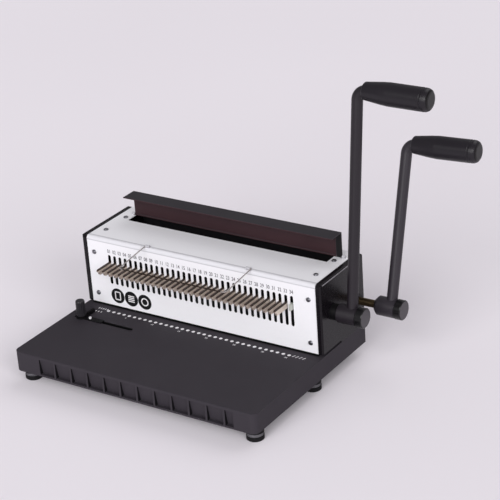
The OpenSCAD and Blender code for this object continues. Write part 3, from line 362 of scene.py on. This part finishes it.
# Cover printing: a number over each slot, and three plain black discs with simple signs
# for a sheet, a stack and a ring.
# Screen ink, printed grey and black: thin flat films without gloss.
grey_ink = grained("screen ink, printed grey", "#5a595e", "#6d6c71", rough=0.6, grain=0.6, depth=0.005,
                   Specular_IOR_Level=0.3)
black_ink = grained("screen ink, printed black", "#0b0b0d", "#151517", rough=0.5, grain=0.6, depth=0.005,
                    Specular_IOR_Level=0.2)
NARROW = 0.76       # width of the slot numbers over that of the font
narrow_upright = Matrix.Rotation(math.radians(90), 4, "X") @ Matrix.Diagonal((NARROW, 1, 1, 1))
ink_y = (face - FILM) * MM
numbers_z = (deck + 80.2) * MM
numbers = [("%02d" % (i + 1), Vector((x, ink_y, numbers_z))) for i, x in enumerate(row)]
figures("slot_numbers", numbers, height=5.2 * MM, weight=0.13 * MM, turn=narrow_upright, material=grey_ink)
disc_z = (deck + 17.2) * MM
disc_x = [-132.2 * MM, -110.3 * MM, -88.5 * MM]
plates = [disc(Vector((x, ink_y, disc_z)), radius=10.7 * MM, across=right, up=upward, sides=48)
          for x in disc_x]
printed("cover_discs", plates, black_ink)
sign_y = ink_y - FILM * MM
signs = []
# The sheet is an outline, the stack is four bars, and the ring is a band of 24 pieces.
sheet = [Vector((disc_x[0] + a * MM, sign_y, disc_z + b * MM))
         for a, b in ((-4, -5.5), (4, -5.5), (4, 5.5), (-4, 5.5))]
for i in range(4):
    signs.append(stroke(sheet[i], sheet[(i + 1) % 4], width=1.6 * MM, normal=ahead))
for i in range(4):
    left_end = Vector((disc_x[1] - 5 * MM, sign_y, disc_z + (2.6 * i - 3.9) * MM))
    signs.append(stroke(left_end, left_end + right * 10 * MM, width=1.5 * MM, normal=ahead))
RING_SIDES, RING_IN, RING_OUT = 24, 4.2, 5.9
for i in range(RING_SIDES):
    a, b = (2 * math.pi * k / RING_SIDES for k in (i, i + 1))
    ring = [Vector((disc_x[2] + r * math.cos(t) * MM, sign_y, disc_z + r * math.sin(t) * MM))
            for r, t in ((RING_IN, a), (RING_OUT, a), (RING_OUT, b), (RING_IN, b))]
    signs.append(ring)
printed("cover_signs", signs, white_ink)

# Rear cover: a flat steel sheet that closes the back, screwed to the cheeks' rear flanges.
# It has the same sprayed satin black as the bottom plate.
dress(sheet_black, "rear_cover", edge=0.2, slot="sheet_black")

# Screws: pan heads with a slot, which hold both covers to the cheeks.
# Steel, nickel plated: small bright heads with dark rims on the white sheet.
screw_steel = grained("steel, nickel plated", "#77777c", "#929297", rough=0.28, grain=1.0, depth=0.004,
                      Metallic=1.0)
dress(screw_steel, "cover_screws", slot="screw_steel")

# Pull pins: flat keys, one for each punch but the last, which slide through the beam
# and are pulled out by hand to rest a punch.
# Steel, nickel plated: pale warm sides under dark brown upper edges, so the row looks striped; the ends are
# painted shade, a darker grey-brown.
pin_top = first_pin[1].z / MM
pin_nickel, own = new_material("steel, nickel plated, dark brown on top")
faces = add(pin_nickel, "ShaderNodeSeparateXYZ", {"Vector": own.outputs["Normal"]})
on_end = add(pin_nickel, "ShaderNodeMapRange",
             {"Value": faces.outputs["Y"], "From Min": -0.5, "From Max": -0.9})
on_top = inside(pin_nickel, own.outputs["Object"], (-BEYOND, -60, pin_top - 1.3), (BEYOND, 200, pin_top + 1))
stain = add(pin_nickel, "ShaderNodeTexNoise",
            {"Vector": own.outputs["Object"], "Scale": 1 / (5 * MM), "Detail": 3.0})
metal = add(pin_nickel, "ShaderNodeMix",
            {"Factor": stain.outputs["Fac"], "A": linear("#c6b7aa"), "B": linear("#e6dacf")},
            data_type="RGBA")
# The ends that face the front are painted shade, a darker grey-brown than the sides.
shaded_ends = add(pin_nickel, "ShaderNodeMix",
             {"Factor": on_end.outputs["Result"], "A": metal.outputs["Result"], "B": linear("#877a73")},
             data_type="RGBA")
dark_topped = add(pin_nickel, "ShaderNodeMix",
              {"Factor": on_top, "A": shaded_ends.outputs["Result"], "B": linear("#33261f")}, data_type="RGBA")
shine = add(pin_nickel, "ShaderNodeMapRange", {"Value": on_top, "To Min": 0.35, "To Max": 0.0})
finish_material(pin_nickel, Base_Color=dark_topped.outputs["Result"], Metallic=shine.outputs["Result"],
                Roughness=0.42, Specular_IOR_Level=0.2)
dress(pin_nickel, *["pull_pin_%02d" % i for i in range(1, SLOTS)], slot="pin_nickel")

# Shafts and bushes: the closer's shaft shows between cheek and hub,
# and both shafts turn in flanged bushes pressed into the cheeks.
# Steel, yellow zinc plated: a dark olive metal.
shaft_zinc = grained("steel, yellow zinc plated", "#473c2c", "#685840", rough=0.34, grain=1.2, depth=0.004,
                     Metallic=0.9)
dress(shaft_zinc, "closer_shaft", slot="shaft_zinc")
# Bush steel, oxide blacked: a plain dark ring that does not catch the eye.
bush_black = grained("bush steel, oxide blacked", "#0c0b0d", "#141315", rough=0.45, grain=0.8, depth=0.004,
                     Metallic=0.3, Specular_IOR_Level=0.2)
dress(bush_black, "shaft_bushes", slot="bush_steel")

# Levers: a turned hub clamped on each shaft with a bent round bar welded in,
# each hub closed by a pressed cap.
CAP_HALF = 16       # half the side of a box around a cap
CAP_LONG = 12       # length of that box along the shaft
RIM = 11.4          # inner radius of the rim on a cap's end
COAT_GRAIN = 0.9    # as coarse as on the base


def lever_paint(name, low, high, cap_x, axis_y, axis_z):
    """Lever paint with a glossy black cap on the hub beyond cap_x; inside the rim of its end the cap is
    painted grey, a painted highlight for the light on that end face.
    """
    material, own = new_material(name)
    place = own.outputs["Object"]
    fine = add(material, "ShaderNodeTexNoise",
               {"Vector": place, "Scale": 1 / (COAT_GRAIN * MM), "Detail": 2.0})
    cap = inside(material, place, (cap_x, axis_y - CAP_HALF, axis_z - CAP_HALF),
                 (cap_x + CAP_LONG, axis_y + CAP_HALF, axis_z + CAP_HALF))
    off = add(material, "ShaderNodeVectorMath", {0: place, 1: (0, axis_y * MM, axis_z * MM)},
              operation="SUBTRACT")
    flat = add(material, "ShaderNodeVectorMath", {0: off.outputs[0], 1: (0, 1, 1)}, operation="MULTIPLY")
    away = add(material, "ShaderNodeVectorMath", {0: flat.outputs[0]}, operation="LENGTH")
    # Painted highlight: the cap's end face inside the rim is lighter than the black cap.
    end = add(material, "ShaderNodeMath", {0: away.outputs["Value"], 1: RIM * MM}, operation="LESS_THAN")
    coat = add(material, "ShaderNodeMix",
               {"Factor": fine.outputs["Fac"], "A": linear(low), "B": linear(high)}, data_type="RGBA")
    pressed = add(material, "ShaderNodeMix",
                  {"Factor": end.outputs[0], "A": linear("#0c0b0d"), "B": linear("#39353a")},
                  data_type="RGBA")
    shade = add(material, "ShaderNodeMix",
                {"Factor": cap, "A": coat.outputs["Result"], "B": pressed.outputs["Result"]},
                data_type="RGBA")
    gloss = add(material, "ShaderNodeMapRange", {"Value": cap, "To Min": 0.4, "To Max": 0.28})
    bump = add(material, "ShaderNodeBump",
               {"Height": fine.outputs["Fac"], "Distance": 0.02 * MM, "Strength": 0.5})
    return finish_material(material, Base_Color=shade.outputs["Result"], Roughness=gloss.outputs["Result"],
                           Normal=bump.outputs["Normal"], Specular_IOR_Level=0.36)


# Powder coat, baked: the same fine dark skin as the base, with a soft streak of light along the bars.
# The closer lever's coat is set a shade lighter as painted light, for the brighter light that falls on it.
punch_paint = lever_paint("powder coat, baked on the punch lever", "#19151a", "#241f25",
                          cap_x=218, axis_y=face + 27, axis_z=deck + 51)
dress(punch_paint, "punch_lever", slot="lever_paint")
closer_paint = lever_paint("powder coat, baked on the closer lever", "#252127", "#302c32",
                           cap_x=239.5, axis_y=face + 85, axis_z=deck + 40)
dress(closer_paint, "closer_lever", slot="lever_paint")

# Grips: moulded sleeves pushed over the ends of the levers, with a ring near the outer end.
# Rubber foam, moulded: nearly black with a soft sheen and very fine closed cells, drawn at 1 mm to show,
# and darker still on the outer ends.
END_DEEP = 1.5      # depth of the dark end of a grip
grip_ends = []
for low, high in (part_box("punch_lever_grip"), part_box("closer_lever_grip")):
    corner = Vector((high.x - END_DEEP * MM, low.y - MM, low.z - MM)) / MM
    grip_ends.append((corner, high / MM + Vector((1, 1, 1)), "#040304"))
grip_foam = grained("rubber foam, moulded black", "#18151a", "#221f24", rough=0.32, grain=1.0, depth=0.01,
                    spots=grip_ends, Specular_IOR_Level=0.3)
dress(grip_foam, "punch_lever_grip", "closer_lever_grip", slot="grip_foam")

# Lid: a folded sheet on a hinge rod behind the closer's opening, with a folded strip at its right end.
# Enamel, sprayed over primer: dark grey outside, with the red-brown primer showing through on its front face.
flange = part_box("lid")[1].z / MM - 1.4      # just below the lid's upper leg
STRIP_X, STRIP_REAR = 158.6, 108.4          # where the strip begins, and how far back it goes
lid_black, own = new_material("enamel, sprayed over primer")
place = own.outputs["Object"]
faces = add(lid_black, "ShaderNodeSeparateXYZ", {"Vector": own.outputs["Normal"]})
front = add(lid_black, "ShaderNodeMapRange",
            {"Value": faces.outputs["Y"], "From Min": -0.6, "From Max": -0.9})
uneven = add(lid_black, "ShaderNodeTexNoise", {"Vector": place, "Scale": 1 / (45 * MM), "Detail": 2.0})
primer = add(lid_black, "ShaderNodeMix",
             {"Factor": uneven.outputs["Fac"], "A": linear("#312024"), "B": linear("#3d292d")},
             data_type="RGBA")
outer = add(lid_black, "ShaderNodeMix",
            {"Factor": uneven.outputs["Fac"], "A": linear("#272428"), "B": linear("#322f34")},
            data_type="RGBA")
coated = add(lid_black, "ShaderNodeMix",
             {"Factor": front.outputs["Result"], "A": outer.outputs["Result"],
              "B": primer.outputs["Result"]}, data_type="RGBA")
strip = inside(lid_black, place, (STRIP_X, 0, 100), (170, STRIP_REAR, flange))
# A pale line along the strip's inner edge is a painted highlight.
strip_edge_highlight = inside(lid_black, place, (STRIP_X - 1, 0, 100), (STRIP_X + 0.1, STRIP_REAR, flange))
folded = add(lid_black, "ShaderNodeMix",
             {"Factor": strip, "A": coated.outputs["Result"], "B": linear("#161517")}, data_type="RGBA")
highlighted = add(lid_black, "ShaderNodeMix",
            {"Factor": strip_edge_highlight, "A": folded.outputs["Result"], "B": linear("#4a4347")}, data_type="RGBA")
finish_material(lid_black, Base_Color=highlighted.outputs["Result"], Roughness=0.5, Specular_IOR_Level=0.2)
dress(lid_black, "lid", slot="lid_black")

# Wire holder: a bent wire that turns in the cover's eyelets, on which an open binding wire is hung.
# Steel wire, drawn: grey with fine marks along its length, and brown along the bar.
bar_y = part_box("wire_holder")[0].y / MM
brown_bar = ((-74, bar_y - 1, 100), (74, bar_y + 4, 160), "#33281f")
wire_steel = grained("steel wire, drawn", "#8f8988", "#aaa4a2", rough=0.32, grain=1.0, depth=0.003,
                     spots=[brown_bar], Metallic=0.6)
dress(wire_steel, "wire_holder", slot="wire_steel")

# Edge guide: a small bracket on the deck whose slider runs under the slot,
# held by a steel stud and clamped by a fluted knob.
# Satin enamel, sprayed black: flat and dark beside the stud, whose head is left bright.
stud = ((-150, guide_line - 4, deck + 1.35), (-142, guide_line + 4, deck + 9), "#e4e2e6")
guide_black = grained("satin enamel, sprayed black beside a bright stud", "#070608", "#0d0c0e", rough=0.6,
                      grain=3.0, depth=0.005, spots=[stud], Specular_IOR_Level=0.12)
dress(guide_black, "edge_guide", slot="sheet_black")
# Hard plastic, moulded: black with a soft shine on the crests of the flutes.
knob_plastic = grained("hard plastic, moulded black", "#1f1d21", "#2b292d", rough=0.36, grain=0.8, depth=0.01,
                       Specular_IOR_Level=0.35)
dress(knob_plastic, "guide_knob", slot="knob_plastic")

# Chip tray: a long box under the die that draws out of the base's left wall.
# Hard plastic, moulded dark grey: slightly grained and dull.
tray_plastic = grained("hard plastic, moulded dark grey", "#242328", "#2d2c31", rough=0.5, grain=0.9,
                       depth=0.012, Specular_IOR_Level=0.3)
dress(tray_plastic, "chip_tray", edge=0.3, slot="tray_plastic")

# Studio: a pale seamless floor, broad soft lights from the front and the right,
# a weaker one from behind and above, and a camera where the photograph was taken from.
# Paper, matt white: even and pale, with a soft shadow only around the machine.
FLOOR = 8           # half the side of the floor, in metres
FLOOR_LIFT = 0.04   # light of its own that the paper shows to the eye and in reflections
MOTTLE = 833        # size of the paper's broad unevenness, in millimetres
floor_paper, own = new_material("paper, matt white")
mottle = add(floor_paper, "ShaderNodeTexNoise",
             {"Vector": own.outputs["Object"], "Scale": 1 / (MOTTLE * MM), "Detail": 1.0})
paper = add(floor_paper, "ShaderNodeMix",
            {"Factor": mottle.outputs["Fac"], "A": linear("#e5e0e6"), "B": linear("#ebe6ec")},
            data_type="RGBA")
path = add(floor_paper, "ShaderNodeLightPath")
seen = add(floor_paper, "ShaderNodeMath",
           {0: path.outputs["Is Camera Ray"], 1: path.outputs["Is Glossy Ray"]}, operation="ADD")
through = add(floor_paper, "ShaderNodeMath",
              {0: seen.outputs[0], 1: path.outputs["Is Transmission Ray"]}, operation="ADD")
lift = add(floor_paper, "ShaderNodeMath", {0: through.outputs[0], 1: FLOOR_LIFT}, operation="MULTIPLY")
finish_material(floor_paper, Base_Color=paper.outputs["Result"], Roughness=0.9, Specular_IOR_Level=0.1,
                Emission_Color=paper.outputs["Result"], Emission_Strength=lift.outputs[0])
floor_mesh = bpy.data.meshes.new("floor")
floor_mesh.from_pydata([(-FLOOR, -FLOOR, 0), (FLOOR, -FLOOR, 0), (FLOOR, FLOOR, 0), (-FLOOR, FLOOR, 0)],
                       [], [(0, 1, 2, 3)])
floor_mesh.materials.append(floor_paper)
floor = bpy.data.objects.new("floor", floor_mesh)
bpy.context.scene.collection.objects.link(floor)
floor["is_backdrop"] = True


def soft_light(name, turn, height, spread, strength):
    """An even light from far away: turn is degrees from the front towards the right,
    height is degrees above the floor."""
    lamp = bpy.data.lights.new(name, "SUN")
    lamp.angle = math.radians(spread)
    lamp.energy = strength
    holder = bpy.data.objects.new(name, lamp)
    holder.rotation_euler = (math.radians(90 - height), 0, math.radians(turn))
    bpy.context.scene.collection.objects.link(holder)


soft_light("front_light", turn=5, height=27, spread=40, strength=2.15)
soft_light("right_light", turn=62, height=25, spread=30, strength=1.2)
soft_light("rear_light", turn=165, height=48, spread=50, strength=0.65)
world = bpy.data.worlds.new("studio")
world.use_nodes = True
sky = world.node_tree.nodes["Background"]
sky.inputs["Color"].default_value = linear("#e6e3e8")
sky.inputs["Strength"].default_value = 0.36
bpy.context.scene.world = world

# The camera's place, angles and lens were fitted to the photograph.
camera_place = Vector((1.1803, -1.5669, 1.0577))
turn, tilt, roll = math.radians(34.52), math.radians(24.66), math.radians(4.07)
into = Vector((-math.sin(turn) * math.cos(tilt), math.cos(turn) * math.cos(tilt), -math.sin(tilt)))
level_right = Vector((math.cos(turn), math.sin(turn), 0))
level_down = into.cross(level_right)
camera_right = math.cos(roll) * level_right + math.sin(roll) * level_down
camera_down = -math.sin(roll) * level_right + math.cos(roll) * level_down
aim = Matrix((camera_right, -camera_down, -into)).transposed().to_4x4()
camera = bpy.data.objects.new("camera", bpy.data.cameras.new("camera"))
camera.matrix_world = Matrix.Translation(camera_place) @ aim
camera.data.sensor_width = 36
camera.data.lens = 125.03
camera.data.clip_end = 60
bpy.context.scene.collection.objects.link(camera)
bpy.context.scene.camera = camera
bpy.context.scene.view_settings.view_transform = "Standard"

low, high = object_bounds()
